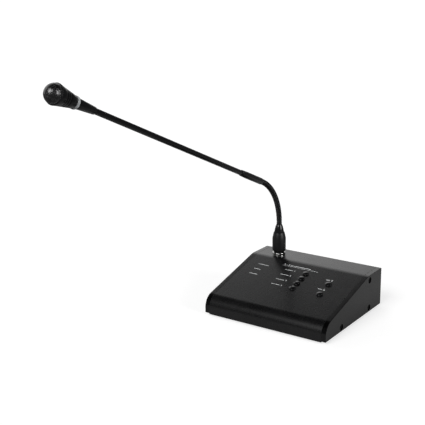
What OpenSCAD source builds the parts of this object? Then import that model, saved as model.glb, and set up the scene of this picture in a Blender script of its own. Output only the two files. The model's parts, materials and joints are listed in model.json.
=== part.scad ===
// Desk paging microphone: a wedge housing with six buttons, and a plug-in gooseneck with a lit head.
// Millimetres. X runs to the right, Y to the rear and Z up from the table.
// The origin lies on the table under the middle of the housing.

/* [Housing] */
// Width over both end plates
base_w = 190; // [176:1:220]
// Depth from the front face to the rear edge
base_d = 164; // [156:1:184]
// Height from the housing's lower edge to its flat top
base_h = 52.7; // [50:0.1:62]
// Height at which the slope's line meets the front face
nose_h = 20.9; // [17:0.1:26]
// Depth of the flat part of the top, behind the slope
top_depth = 41; // [40:0.5:48]
// Radius of the lip between the front face and the slope
lip_r = 18; // [10:0.5:20]
// Radius of the bend between the slope and the flat top
bend_r = 30; // [6:1:36]
// Wall of the cover
wall = 2; // [1.5:0.1:2.5]
// Thickness of each end plate
end_t = 7; // [5.5:0.1:9]
// How far an end plate reaches below the cover's edge
end_drop = 0.8; // [0:0.1:1.5]
// Thickness of the bottom plate
plate_t = 2; // [1.5:0.1:3]
// Thickness of the rear panel
panel_t = 2; // [1.5:0.1:2.5]
// Depth of the rear panel behind the housing's rear edge
panel_in = 1.5; // [1.2:0.1:2]

/* [Feet and end screws] */
// Height of the rubber feet
foot_h = 2.5; // [2:0.1:5]
// Diameter of a foot
foot_d = 14; // [10:0.5:18]
// Distance of a foot's centre from the housing's sides
foot_in_x = 22; // [18:1:30]
// Distance of a foot's centre from the front and rear
foot_in_y = 18; // [16:1:24]
// Distance of the rear end screws from the housing's rear edge
screw_rear = 37.3; // [32:0.1:39]
// Distance of the front end screw from the housing's front face
screw_front = 44.1; // [40:0.1:56]
// Height of the lower end screws above the housing's lower edge
screw_low = 5; // [4.4:0.1:6]
// Depth of the upper end screw below the flat top
screw_high = 7.2; // [6:0.1:8]
// Head diameter of an end screw
screw_head_d = 8.6; // [7:0.1:9]
// Thread diameter of an end screw
screw_d = 4; // [3:0.1:4.5]

/* [Panel] */
// Diameter of a button cap
button_d = 9; // [7:0.1:10]
// Height of a button cap over the panel
button_h = 2.5; // [1.5:0.1:4]
// Travel of a button
button_travel = 1; // [0.5:0.1:1.2]
// Distance of the first row from the bend, down the slope
row_first = 25.2; // [20:0.1:28]
// Spacing of the rows
row_pitch = 12.8; // [12:0.1:14]
// Place of the column of four buttons, from the middle
zone_x = 9.5; // [0:0.5:12]
// Place of the column of two buttons, from the middle
call_x = 52; // [44:0.5:56]
// Place of the indicators, from the middle
lamp_x = -76; // [-78:0.5:-70]
// Diameter of an indicator
lamp_d = 2.5; // [2:0.1:3]

/* [Plug and socket] */
// Place of the gooseneck's socket, from the middle
neck_x = -60.7; // [-66:0.1:-50]
// Distance of the socket from the housing's rear edge
neck_rear = 21.5; // [19:0.5:23]
// Diameter of the socket's collar
collar_d = 18.8; // [18.4:0.1:22]
// Height of the socket's collar over the panel
collar_h = 2.3; // [1.5:0.1:4]
// Depth of the socket below the panel's face
socket_depth = 14; // [12:0.5:16]
// Outer diameter of the plug's shell
plug_d = 20; // [19:0.1:22]
// Outer diameter of the plug's nose
nose_d = 15; // [14.6:0.1:15.2]
// Height of the plug's parallel part over the panel
plug_h = 24; // [20:0.5:30]
// Length of the shell's taper
plug_taper = 9; // [6:0.5:14]
// Diameter at the top of the shell's taper
plug_top_d = 16; // [15.5:0.1:17]
// Length of the boot over the shell
boot_h = 12; // [8:0.5:20]
// Diameter of a contact pin
pin_d = 2.4; // [2:0.1:2.6]
// Radius of the pin circle
pin_circle_r = 3.7; // [3.6:0.1:3.9]

/* [Gooseneck] */
// Length of the flexible section that bends
flex_len = 90.8; // [86:0.1:100]
// Diameter over the ribs of the flexible section
flex_d = 8.3; // [7.8:0.1:8.5]
// Forward bend of the flexible section
neck_bend = 66.2; // [0:0.1:80]
// Length of the sleeve above the flexible section
sleeve_len = 55; // [44:0.5:70]
// Diameter of the sleeve
sleeve_d = 9.4; // [9:0.1:10.5]
// Diameter at the front of the sleeve's taper
sleeve_front_d = 8.6; // [8.4:0.1:9]
// Length of the straight tube that shows
tube_len = 310.4; // [200:0.1:400]
// Diameter of the straight tube
tube_d = 7.2; // [7.1:0.1:7.4]
// Wall of the straight tube
tube_wall = 0.8; // [0.6:0.1:1]

/* [Head] */
// Length of the tapered collar behind the light ring
neck_cone_len = 30.1; // [28:0.1:36]
// Rear diameter of the tapered collar
neck_cone_d = 8.9; // [8.4:0.1:10]
// Front diameter of the tapered collar
neck_cone_front_d = 12.8; // [12:0.1:13.4]
// Length of the light ring
light_len = 3.7; // [3:0.1:6]
// Diameter of the light ring
light_d = 15.2; // [14:0.1:16]
// Length of the head's body up to its rim
head_len = 27.3; // [26:0.1:34]
// Diameter of the head's body behind its shoulder
head_mid_d = 22; // [21:0.1:22.6]
// Diameter of the head's body at the light ring
head_rear_d = 14.5; // [14:0.1:15.5]
// Diameter of the rim that holds the grille
rim_d = 24.3; // [24.1:0.1:26]
// Radius of the grille's dome
dome_r = 11.5; // [11.2:0.05:11.55]
// Wall of the grille
grille_t = 0.6; // [0.5:0.1:0.8]

/* [Hidden] */
$fn = 64;

// Clearances: a close fit within one body, a running fit, and an easy gap round a moving piece
fit = 0.05;
slip = 0.1;
easy = 0.2;
// How far a cut runs past the face that it leaves, and a rounding arc past the lines that it joins
past = 1;
arc_lap = 0.003;

// Places of the housing
front_y = -base_d / 2;
rear_y = base_d / 2;
edge_z = foot_h + plate_t;
top_z = edge_z + base_h;
bend_y = rear_y - top_depth;
slope_deg = atan((base_h - nose_h) / (base_d - top_depth));
inner_w = base_w - 2 * end_t;

// Rear panel and the ribs that hold it
rib_t = 1.5;
rib_h = 4;
panel_y = rear_y - panel_in - panel_t;

// End screws: [y, z] of each, and their heads, bosses and lengths
screw_head_h = 2.4;
head_sunk = 1.6;
boss_r = screw_d / 2 + 2.1;
boss_len = 12;
screw_grip = 10;
socket_af = 2.5;
socket_deep = 1.4;
high_screw = [rear_y - screw_rear, top_z - screw_high];
low_rear_screw = [rear_y - screw_rear, edge_z + screw_low];
low_front_screw = [front_y + screw_front, edge_z + screw_low];
end_screw_places = [high_screw, low_rear_screw, low_front_screw];
seat_t = end_t - screw_head_h - head_sunk;

// Feet: a disc, a stem through the plate and a bulb that holds it
foot_stem_r = 2;
foot_bulb_r = 2.8;
foot_bulb_h = 1.6;
foot_round = 0.8;
foot_places = [for (x = [-1, 1], y = [-1, 1])
    [x * (base_w / 2 - foot_in_x), y * (base_d / 2 - foot_in_y)]];

// Boards and their small fasteners
board_t = 1.6;
standoff_r = 3;
board_screw_r = 1.4;
board_head_r = 2.7;
board_head_h = 1.8;
board_screw_grip = 6;

// Main board on the bottom plate
main_lift = 10;
main_x0 = -28;
main_w = 100;
main_d = 66;
main_y1 = panel_y - 0.5;
main_z = edge_z + main_lift;
main_in = 5;
main_places = [for (x = [main_x0 + main_in, main_x0 + main_w - main_in],
    y = [main_y1 - main_d + main_in, main_y1 - main_in]) [x, y]];

// Parts on the main board, placed from its left and rear edges
transformer_xs = [12, 32];
transformer_in = 34;
transformer_w = 16;
transformer_d = 14;
transformer_h = 11;
chip_x = 62;
chip_in = 50;
chip_w = 14;
chip_h = 2;
capacitor_x = 88;
capacitor_in = 44;
capacitor_r = 5;
capacitor_h = 11;

// Link sockets on the main board, behind the rear panel
link_w = 16;
link_h = 13.4;
link_d = 18;
link_proud = 0.4;
link_places = [20, 42];
port_w = 11.9;
port_h = 6.9;
port_d = 12.5;
port_lift = 4.2;
notch_w = 6.4;
notch_h = 2.2;

// Buttons: [x, distance down the slope]
button_places = [for (i = [0:3]) [zone_x, row_first + i * row_pitch],
    [call_x, row_first + row_pitch], [call_x, row_first + 3 * row_pitch]];
button_dome = 0.9;
flange_r = button_d / 2 + 1.1;
flange_t = 1;
post_r = 2.5;
post_len = 1.9;
plunger_r = 1.7;
plunger_out = button_travel + 0.8;
plunger_in = 2;
switch_w = 7;
switch_h = 4;
flange_z = -wall - slip;
post_z = flange_z - flange_t - post_len;
switch_z = post_z - plunger_out;
board_z = switch_z - switch_h;

// Control board under the slope
control_x0 = -84;
control_w = 148;
control_s0 = 9;
control_d = row_first + 3 * row_pitch + 15 - control_s0;
control_in = 5;
control_places = [for (x = [control_x0 + control_in, control_x0 + control_w - control_in],
    s = [control_s0 + control_in, control_s0 + control_d - control_in]) [x, s]];
lamp_places = [for (i = [0:2]) [lamp_x, row_first + i * row_pitch]];
lamp_proud = 0.2;
lamp_foot_r = lamp_d / 2 + 0.6;
lamp_foot_h = 1.2;

// Ribbon cable between the boards, square to the control board
ribbon_x = 25;
ribbon_s = 30;
ribbon_w = 26;
ribbon_t = 0.9;
header_w = 30;
header_d = 6;
header_h = 6;
ribbon_top = board_z - board_t - header_h;
ribbon_end_z = main_z + board_t + header_h + easy;
ribbon_end = (ribbon_end_z - top_z + ribbon_s * sin(slope_deg)) / cos(slope_deg);
ribbon_end_y = bend_y - ribbon_s * cos(slope_deg) - ribbon_end * sin(slope_deg);

// Socket and plug, with heights from the panel's face
neck_y = rear_y - neck_rear;
socket_wall = 0.8;
socket_bore_r = nose_d / 2 + easy;
barrel_r = socket_bore_r + socket_wall;
socket_floor = 2;
collar_round = 0.8;
nut_h = 3;
nut_r = barrel_r + 4;
contact_wall = 0.45;
contact_r = pin_d / 2 + slip + contact_wall;
contact_tail = 4;
insert_margin = 0.9;
insert_r = pin_circle_r + contact_r + insert_margin;
insert_top = -0.5;
nose_wall = nose_d / 2 - insert_r - easy;
shoulder_z = collar_h + slip;
chamfer_r = nose_d / 2 + 0.4;
chamfer_h = 4;
pin_tip_z = -socket_depth + 1.5;
plug_insert_z = 1;
plug_insert_h = 6;
pin_cup = 3;
shell_wall = 1.6;
shell_top = plug_h + plug_taper;
brow_h = 3.5;
brow_r = plug_d / 2 - 0.7;
thread_len = 5;
spigot_r = plug_top_d / 2 - 1.5;
boot_d = plug_top_d - 1.2;
boot_top = shell_top + boot_h;
boot_nose_h = 3.6;
boot_nose_r = 5.6;

// Flexible section: joints, ribs, ball seats and the short straight ends
joints = 8;
link_len = flex_len / joints;
flex_foot = 2.3;
flex_top = 4.7;
ribs = 5;
rib_w = 1.2;
rib_pitch = link_len / ribs;
groove = rib_pitch - rib_w;
rib_r = flex_d / 2;
root_r = rib_r - rib_w / 2;
ball_r = root_r - 0.7;
seat_r = ball_r + slip;
mouth = 1.1;
ball_neck_r = 1.95;
neck_bore_r = 1.4;
plain_r = tube_d / 2;
foot_len = 16;
top_len = 30;

// Tilt of the stretch above a joint, and the place of that joint
function tilt(k) = neck_bend / joints * k;
function along(a) = [0, -sin(a), cos(a)];
function joint_place(k) = k == 1
    ? [neck_x, neck_y, top_z + boot_top + flex_foot + link_len / 2]
    : joint_place(k - 1) + link_len * along(tilt(k - 1));

// Head, with distances along the neck from the last joint
sleeve_z = link_len / 2 + flex_top;
sleeve_taper = 16;
tube_z = sleeve_z + top_len;
cone_z = sleeve_z + sleeve_len + tube_len;
cone_grip = 20;
cone_bore_r = 4;
light_z = cone_z + neck_cone_len;
light_bore_r = 4.6;
light_board_t = 1;
head_z = light_z + light_len;
shoulder_len = 5.1;
shoulder_r = rim_d / 2 - 0.3;
shoulder_edge = 1;
groove_back = 8.4;
groove_pitch = 3.6;
groove_w = 1;
groove_deep = 0.5;
head_wall = 1.6;
head_bore_r = 5.2;
head_floor = 3;
rim_z = head_z + head_len;
rim_w = 1.4;
skirt_h = 1.1;
dome_z = rim_z + skirt_h;
capsule_r = 4.85;
capsule_len = 6.5;
holder_t = 5;
holder_r = head_mid_d / 2 - head_wall - slip;
holder_ledge = 1;
cable_r = tube_d / 2 - tube_wall - easy;

// Colours of the photographed finishes
black_paint = [0.13, 0.13, 0.135];
black_plate = [0.18, 0.18, 0.185];
black_gloss = [0.05, 0.05, 0.055];
rubber = [0.08, 0.08, 0.08];
steel = [0.6, 0.6, 0.62];
brass = [0.75, 0.62, 0.32];
board_green = [0.1, 0.32, 0.18];
cream = [0.82, 0.8, 0.74];
milky = [0.8, 0.81, 0.82];

// Puts a flat shape, drawn as depth and height, across the housing from x0 over a length
module across(x0, len) {
    translate([x0, 0, 0]) rotate([90, 0, 90]) linear_extrude(len) children();
}

// Puts a piece on the slope's face, at x and a distance down from the bend
module on_slope(place) {
    translate([place[0], bend_y, top_z]) rotate([slope_deg, 0, 0]) translate([0, -place[1], 0]) children();
}

// Puts a piece on the socket's axis, with the panel's face as zero
module at_socket() {
    translate([neck_x, neck_y, top_z]) children();
}

// Puts a piece on a joint of the flexible section, along the stretch above it
module at_joint(k) {
    translate(joint_place(k)) rotate([tilt(k), 0, 0]) children();
}

// Puts three copies on the pin circle
module on_pins() {
    for (a = [30, 150, 270]) rotate(a) translate([pin_circle_r, 0, 0]) children();
}

// Upright tube between two heights
module ring(outer_r, inner_r, z0, z1) {
    translate([0, 0, z0]) difference() {
        cylinder(r = outer_r, h = z1 - z0);
        translate([0, 0, -past]) cylinder(r = inner_r, h = z1 - z0 + 2 * past);
    }
}

// Upright rod between two heights
module rod(r, z0, z1) {
    translate([0, 0, z0]) cylinder(r = r, h = z1 - z0);
}

function unit(a) = [cos(a), sin(a)];

// What a rounded corner of radius r about c takes away, between the directions a0 and a1
module corner_cut(c, r, a0, a1) {
    difference() {
        polygon([c, c + 2 * r * unit(a0), c + 2 * r * unit((a0 + a1) / 2), c + 2 * r * unit(a1)]);
        translate(c) circle(r + arc_lap);
    }
}

// Side profile of the housing, drawn in by inset, lengthened below and behind by over, and below by drop
module wedge(inset = 0, over = 0, drop = 0) {
    lip_c = [front_y + lip_r, edge_z + nose_h - lip_r * tan((90 - slope_deg) / 2)];
    bend_c = [bend_y + bend_r * tan(slope_deg / 2), top_z - bend_r];
    slope_dir = 90 + slope_deg;
    low = edge_z - over - drop;
    back = rear_y + over;
    lip_top = lip_c[1] + (lip_r - inset) * tan((90 - slope_deg) / 2);
    difference() {
        polygon([[front_y + inset, low], [front_y + inset, lip_top],
            [bend_c[0] - (bend_r - inset) * tan(slope_deg / 2), top_z - inset],
            [back, top_z - inset], [back, low]]);
        corner_cut(lip_c, lip_r - inset, 180, slope_dir);
        corner_cut(bend_c, bend_r - inset, slope_dir, 90);
    }
}

// Two ribs, from z0 up, that hold an edge of the rear panel between them
module panel_ribs(z0, h) {
    translate([rear_y - panel_in + fit, z0]) square([panel_in - fit, h]);
    translate([panel_y - fit - rib_t, z0]) square([rib_t, h]);
}

// Solid boss at both ends for an end screw, with a web of its width to the wall at wall_z
module end_boss(place, wall_z) {
    for (x0 = [-inner_w / 2, inner_w / 2 - boss_len]) across(x0, boss_len) {
        translate(place) circle(boss_r);
        translate([place[0] - boss_r, min(place[1], wall_z)]) square([2 * boss_r, abs(place[1] - wall_z)]);
    }
}

// Bore across both ends for an end screw
module end_bore(place, r) {
    for (x0 = [-base_w / 2 - past, inner_w / 2 - boss_len - past])
        across(x0, end_t + boss_len + 2 * past) translate(place) circle(r);
}

// Folded cover: front, lip, slope and flat top, with the rear panel's ribs and its screw bosses
module cover() {
    color(black_paint) difference() {
        union() {
            across(-inner_w / 2, inner_w) {
                difference() {
                    wedge();
                    wedge(wall, past);
                }
                panel_ribs(top_z - wall - rib_h, wall / 2 + rib_h);
            }
            end_boss(high_screw, top_z - wall / 2);
        }
        end_bore(high_screw, screw_d / 2 + fit);
        for (p = button_places) on_slope(p) rod(button_d / 2 + easy, -wall - past, past);
        for (p = lamp_places) on_slope(p) rod(lamp_d / 2 + slip, -wall - past, past);
        at_socket() rod(barrel_r + slip, -wall - past, past);
    }
}

// Bottom plate with the rear panel's ribs, a locating rib at the front and its screw bosses
module bottom_plate() {
    color(black_plate) difference() {
        union() {
            across(-inner_w / 2, inner_w) {
                translate([front_y, foot_h]) square([base_d, plate_t]);
                translate([front_y + wall + slip, foot_h]) square([rib_t, plate_t + rib_h]);
                panel_ribs(foot_h, plate_t + rib_h);
            }
            end_boss(low_rear_screw, edge_z - plate_t / 2);
            end_boss(low_front_screw, edge_z - plate_t / 2);
        }
        end_bore(low_rear_screw, screw_d / 2 + fit);
        end_bore(low_front_screw, screw_d / 2 + fit);
        for (p = foot_places) translate(p) rod(foot_stem_r + fit, foot_h - past, edge_z + past);
    }
}

// End plate with the housing's profile, lower beside the bottom plate, and three counterbored screw holes,
// outer face at +X
module end_plate() {
    difference() {
        across(inner_w / 2, end_t) wedge(drop = end_drop);
        for (p = end_screw_places) {
            across(inner_w / 2 - past, end_t + 2 * past) translate(p) circle(screw_d / 2 + easy);
            across(inner_w / 2 + seat_t, end_t) translate(p) circle(screw_head_d / 2 + easy);
        }
    }
}

module end_plate_right() {
    color(black_plate) end_plate();
}

module end_plate_left() {
    color(black_plate) mirror([1, 0, 0]) end_plate();
}

// Six screws through the end plates, each with a hexagon socket in its head
module end_screws() {
    color(black_gloss) for (side = [0, 1], p = end_screw_places) mirror([side, 0, 0]) difference() {
        union() {
            across(inner_w / 2 + seat_t, screw_head_h) translate(p) circle(screw_head_d / 2);
            across(inner_w / 2 - screw_grip, seat_t + screw_grip) translate(p) circle(screw_d / 2);
        }
        across(inner_w / 2 + seat_t + screw_head_h - socket_deep, end_t)
            translate(p) circle(r = socket_af / sqrt(3), $fn = 6);
    }
}

// Four rubber feet pushed into the bottom plate
module feet() {
    color(rubber) for (p = foot_places) translate(p) rotate_extrude() {
        polygon([[0, 0], [foot_d / 2 - foot_round, 0], [foot_d / 2, foot_round], [foot_d / 2, foot_h],
            [foot_stem_r, foot_h], [foot_stem_r, edge_z], [foot_bulb_r, edge_z],
            [foot_stem_r, edge_z + foot_bulb_h], [0, edge_z + foot_bulb_h]]);
    }
}

// Outline box of one link socket at x, grown by gap
module link_box(x, gap = 0) {
    translate([x - link_w / 2 - gap, rear_y - panel_in + link_proud - link_d, main_z + board_t - gap])
        cube([link_w + 2 * gap, link_d, link_h + 2 * gap]);
}

// Rear panel, held in the ribs of the cover and the bottom plate
module rear_panel() {
    color(black_plate) difference() {
        translate([-inner_w / 2 + slip, panel_y, edge_z])
            cube([inner_w - 2 * slip, panel_t, base_h - wall - slip]);
        for (x = link_places) link_box(x, easy);
    }
}

// Two sockets for the link cable, each with a port and its latch notch
module link_sockets() {
    color(black_gloss) for (x = link_places) difference() {
        link_box(x);
        translate([x, rear_y - panel_in + link_proud - port_d, main_z + board_t + port_lift]) {
            translate([-port_w / 2, 0, 0]) cube([port_w, port_d + past, port_h]);
            translate([-notch_w / 2, 0, -notch_h]) cube([notch_w, port_d + past, notch_h + past]);
        }
    }
}

// Main board on its standoffs
module main_board() {
    color(board_green) difference() {
        translate([main_x0, main_y1 - main_d, main_z]) cube([main_w, main_d, board_t]);
        for (p = main_places) translate(p) rod(board_screw_r + slip, main_z - past, main_z + board_t + past);
    }
}

module main_standoffs() {
    color(steel) for (p = main_places) translate(p) ring(standoff_r, board_screw_r + fit, edge_z, main_z);
}

// Small pan-head screw: its head sits on zero and its thread points down
module board_screw() {
    rod(board_head_r, 0, board_head_h);
    rod(board_screw_r, -board_t - board_screw_grip, 0);
}

module main_screws() {
    color(steel) for (p = main_places) translate([p[0], p[1], main_z + board_t]) board_screw();
}

// Two line transformers, a processor and a capacitor on the main board
module board_parts() {
    color(black_gloss) translate([main_x0, main_y1, main_z + board_t]) {
        for (x = transformer_xs) translate([x, -transformer_in, 0])
            cube([transformer_w, transformer_d, transformer_h]);
        translate([chip_x, -chip_in, 0]) cube([chip_w, chip_w, chip_h]);
        translate([capacitor_x, -capacitor_in, 0]) cylinder(r = capacitor_r, h = capacitor_h);
    }
}

// Control board, parallel to the slope under the buttons
module control_board() {
    color(board_green) difference() {
        on_slope([0, 0]) translate([control_x0, -control_s0 - control_d, board_z - board_t])
            cube([control_w, control_d, board_t]);
        for (p = control_places) on_slope(p)
            rod(board_screw_r + slip, board_z - board_t - past, board_z + past);
    }
}

module control_spacers() {
    color(steel) for (p = control_places) on_slope(p) difference() {
        rod(standoff_r, board_z, -wall);
        rod(board_screw_r + fit, board_z - past, board_z + board_screw_grip + slip);
    }
}

module control_screws() {
    color(steel) for (p = control_places) on_slope(p)
        translate([0, 0, board_z - board_t]) rotate([180, 0, 0]) board_screw();
}

// Switch housings on the control board, each bored for its plunger
module switch_bodies() {
    color(black_gloss) for (p = button_places) on_slope(p) difference() {
        translate([-switch_w / 2, -switch_w / 2, board_z]) cube([switch_w, switch_w, switch_h]);
        rod(plunger_r + slip, switch_z - plunger_in - button_travel - easy, switch_z + past);
    }
}

// Indicators on the control board, up through the cover
module indicators() {
    color(black_gloss) for (p = lamp_places) on_slope(p) {
        rod(lamp_foot_r, board_z, board_z + lamp_foot_h);
        rod(lamp_d / 2, board_z, lamp_proud);
    }
}

// Headers at both ends of the ribbon cable
module board_headers() {
    color(black_gloss) {
        on_slope([ribbon_x, ribbon_s]) translate([-header_w / 2, -header_d / 2, ribbon_top])
            cube([header_w, header_d, header_h]);
        translate([ribbon_x - header_w / 2, ribbon_end_y - header_d / 2, main_z + board_t])
            cube([header_w, header_d, header_h]);
    }
}

module ribbon_cable() {
    color(cream) on_slope([ribbon_x, ribbon_s]) translate([-ribbon_w / 2, -ribbon_t / 2, ribbon_end])
        cube([ribbon_w, ribbon_t, ribbon_top - ribbon_end]);
}

// Panel socket: a plated collar on the panel and a barrel through it
module socket_shell() {
    color(steel) at_socket() difference() {
        rotate_extrude() {
            translate([socket_bore_r, -socket_depth]) square([socket_wall, socket_depth + collar_h]);
            translate([0, -socket_depth - socket_floor]) square([barrel_r, socket_floor]);
            difference() {
                translate([socket_bore_r, 0]) square([collar_d / 2 - socket_bore_r, collar_h]);
                translate([collar_d / 2 - collar_round, collar_h - collar_round]) difference() {
                    square(collar_round + past);
                    circle(collar_round);
                }
            }
        }
        on_pins() rod(contact_r + easy, -socket_depth - socket_floor - past, -socket_depth + past);
    }
}

module socket_insert() {
    color(black_gloss) at_socket() difference() {
        rod(insert_r, -socket_depth, insert_top);
        on_pins() rod(contact_r + fit, -socket_depth - past, past);
    }
}

// Three contact sleeves with solder tails
module socket_contacts() {
    bottom = -socket_depth - socket_floor - contact_tail;
    color(brass) at_socket() on_pins() difference() {
        rod(contact_r, bottom, insert_top - 0.5);
        rod(pin_d / 2 + slip, -socket_depth, past);
    }
}

module socket_nut() {
    color(steel) at_socket() difference() {
        translate([0, 0, -wall - nut_h]) cylinder(r = nut_r, h = nut_h, $fn = 6);
        rod(barrel_r + fit, -wall - nut_h - past, past);
    }
}

// Button cap with a domed top, a flange under the cover and a post
module button(i) {
    edge_h = button_h - button_dome;
    ball = (pow(button_d / 2, 2) + pow(button_dome, 2)) / (2 * button_dome);
    color(black_gloss) on_slope(button_places[i]) {
        intersection() {
            rod(button_d / 2, flange_z - flange_t, edge_h + ball);
            translate([0, 0, button_h - ball]) sphere(ball);
        }
        rod(flange_r, flange_z - flange_t, flange_z);
        rod(post_r, post_z, flange_z - flange_t);
    }
}

module plunger(i) {
    color(cream) on_slope(button_places[i]) rod(plunger_r, switch_z - plunger_in, post_z);
}

// Plug shell: a nose in the socket, a chamfer, a parallel part, a brow and a taper
module plug_shell() {
    nose_in = nose_d / 2 - nose_wall;
    color(black_gloss) at_socket() rotate_extrude() polygon([
        [nose_in, -socket_depth + easy], [nose_d / 2, -socket_depth + easy], [nose_d / 2, shoulder_z],
        [chamfer_r, shoulder_z], [plug_d / 2, shoulder_z + chamfer_h], [plug_d / 2, plug_h],
        [brow_r, plug_h + brow_h], [plug_top_d / 2, shell_top], [spigot_r + fit, shell_top],
        [spigot_r + fit, shell_top - thread_len],
        [plug_d / 2 - shell_wall, plug_h], [plug_d / 2 - shell_wall, plug_insert_z + plug_insert_h],
        [nose_in, plug_insert_z + plug_insert_h]]);
}

module plug_insert() {
    color(rubber) at_socket() difference() {
        rod(nose_d / 2 - nose_wall - fit, plug_insert_z, plug_insert_z + plug_insert_h);
        on_pins() rod(pin_d / 2 + fit, plug_insert_z - past, plug_insert_z + plug_insert_h + past);
    }
}

module plug_pins() {
    color(brass) at_socket() on_pins() {
        rod(pin_d / 2, pin_tip_z + pin_d / 2, plug_insert_z + plug_insert_h + pin_cup);
        translate([0, 0, pin_tip_z + pin_d / 2]) sphere(pin_d / 2);
    }
}

// Tapered boot, screwed into the shell, that grips the foot of the gooseneck
module boot() {
    color(rubber) at_socket() rotate_extrude() polygon([
        [plain_r + fit, shell_top - thread_len], [spigot_r, shell_top - thread_len], [spigot_r, shell_top],
        [boot_d / 2, shell_top], [boot_nose_r, boot_top - boot_nose_h], [rib_r + 0.1, boot_top],
        [plain_r + fit, boot_top]]);
}

// Half-round ribs on a plain root, from z0 up
module rib_profile(z0, count) {
    for (i = [0:count - 1]) translate([root_r, z0 + rib_w / 2 + i * rib_pitch]) circle(rib_w / 2);
    translate([0, z0]) square([root_r, count * rib_pitch - groove]);
}

// Ball at height z on a short neck that rises from the shoulder below it
module seat_ball(z) {
    rod(ball_neck_r, z - mouth - groove - past, z);
    translate([0, 0, z]) sphere(ball_r);
}

// Ribbed stub in the boot, with the first ball
module neck_foot() {
    stub_ribs = 3;
    ball_z = boot_top + flex_foot + link_len / 2;
    rib_z = ball_z - mouth - stub_ribs * rib_pitch;
    color(black_plate) at_socket() difference() {
        union() {
            rotate_extrude() rib_profile(rib_z, stub_ribs);
            rod(plain_r, boot_top - foot_len, rib_z + rib_w);
            seat_ball(ball_z);
        }
        rod(neck_bore_r, boot_top - foot_len - past, ball_z + ball_r + past);
    }
}

// One ribbed link: a seat round the ball below, and a ball for the link above
module neck_link(k) {
    color(black_plate) at_joint(k) difference() {
        union() {
            rotate_extrude() rib_profile(-mouth, ribs);
            seat_ball(link_len);
        }
        sphere(seat_r);
        rod(neck_bore_r, -mouth - past, link_len + ball_r + past);
    }
}

// Ribbed end of the flexible section, held in the sleeve
module neck_top() {
    top_ribs = 5;
    color(black_plate) at_joint(joints) difference() {
        union() {
            rotate_extrude() rib_profile(-mouth, top_ribs);
            rod(plain_r, sleeve_z - rib_w, tube_z);
            rod(root_r, -mouth, sleeve_z);
        }
        sphere(seat_r);
        rod(neck_bore_r, -mouth - past, tube_z + past);
    }
}

// Sleeve between the flexible section and the straight tube, tapered at its front
module sleeve() {
    edge = 0.5;
    top = sleeve_z + sleeve_len;
    color(black_plate) at_joint(joints) rotate_extrude() polygon([
        [plain_r + fit, sleeve_z], [sleeve_d / 2 - edge, sleeve_z], [sleeve_d / 2, sleeve_z + edge],
        [sleeve_d / 2, top - sleeve_taper], [sleeve_front_d / 2, top], [plain_r + fit, top]]);
}

module tube() {
    color(black_paint) at_joint(joints) ring(tube_d / 2, tube_d / 2 - tube_wall, tube_z, cone_z + cone_grip);
}

module mic_cable() {
    color(rubber) at_joint(joints) rod(cable_r, tube_z, cone_z + cone_grip);
}

// Tapered collar from the tube to the light ring
module neck_cone() {
    color(black_paint) at_joint(joints) rotate_extrude() polygon([
        [tube_d / 2 + fit, cone_z], [neck_cone_d / 2, cone_z], [neck_cone_front_d / 2, light_z],
        [cone_bore_r, light_z], [cone_bore_r, cone_z + cone_grip], [tube_d / 2 + fit, cone_z + cone_grip]]);
}

module light_ring() {
    color(milky) at_joint(joints) ring(light_d / 2, light_bore_r, light_z, head_z);
}

// Round board that lights the ring, seated on the collar's front face
module light_board() {
    color(board_green) at_joint(joints)
        ring(light_bore_r - slip, neck_bore_r, light_z, light_z + light_board_t);
}

// Flared head with three grooves and a shoulder at the rim
module head_body() {
    mid_z = rim_z - shoulder_len;
    holder_z = rim_z - holder_t;
    color(black_paint) at_joint(joints) difference() {
        rotate_extrude() polygon([
            [light_bore_r, head_z], [head_rear_d / 2, head_z], [head_mid_d / 2, mid_z],
            [shoulder_r, rim_z - shoulder_edge], [shoulder_r, rim_z],
            [holder_r + slip, rim_z], [holder_r + slip, holder_z],
            [holder_r - holder_ledge, holder_z], [head_bore_r, head_z + head_floor],
            [light_bore_r, head_z + head_floor]]);
        for (i = [0:2]) {
            z = rim_z - groove_back - i * groove_pitch;
            share = (z - head_z) / (mid_z - head_z);
            r = (head_rear_d + (head_mid_d - head_rear_d) * share) / 2;
            ring(r + past, r - groove_deep, z - groove_w / 2, z + groove_w / 2);
        }
    }
}

// Bead round the front of the head that clamps the grille's skirt
module rim_ring() {
    edge = 0.4;
    color(black_gloss) at_joint(joints) rotate_extrude() polygon([
        [dome_r + fit, rim_z], [rim_d / 2 - edge, rim_z], [rim_d / 2, rim_z + edge],
        [rim_d / 2, rim_z + rim_w - edge], [rim_d / 2 - edge, rim_z + rim_w],
        [dome_r + fit, rim_z + rim_w]]);
}

module capsule_holder() {
    color(rubber) at_joint(joints) ring(holder_r, capsule_r + fit, rim_z - holder_t, rim_z);
}

module capsule() {
    color(steel) at_joint(joints) rod(capsule_r, rim_z - holder_t, rim_z - holder_t + capsule_len);
}

// Domed grille with a short skirt inside the rim
module grille() {
    color(black_plate) at_joint(joints) difference() {
        union() {
            rod(dome_r, rim_z, dome_z);
            translate([0, 0, dome_z]) intersection() {
                sphere(dome_r);
                rod(dome_r + past, 0, dome_r + past);
            }
        }
        rod(dome_r - grille_t, rim_z - past, dome_z);
        translate([0, 0, dome_z]) sphere(dome_r - grille_t);
    }
}

cover();
bottom_plate();
end_plate_left();
end_plate_right();
end_screws();
feet();
rear_panel();
link_sockets();
main_board();
main_standoffs();
main_screws();
board_parts();
control_board();
control_spacers();
control_screws();
switch_bodies();
indicators();
board_headers();
ribbon_cable();
socket_shell();
socket_insert();
socket_contacts();
socket_nut();
for (i = [0:5]) button(i);
for (i = [0:5]) plunger(i);
plug_shell();
plug_insert();
plug_pins();
boot();
neck_foot();
for (k = [1:joints - 1]) neck_link(k);
neck_top();
sleeve();
tube();
mic_cable();
neck_cone();
light_ring();
light_board();
head_body();
rim_ring();
capsule_holder();
capsule();
grille();
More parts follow.
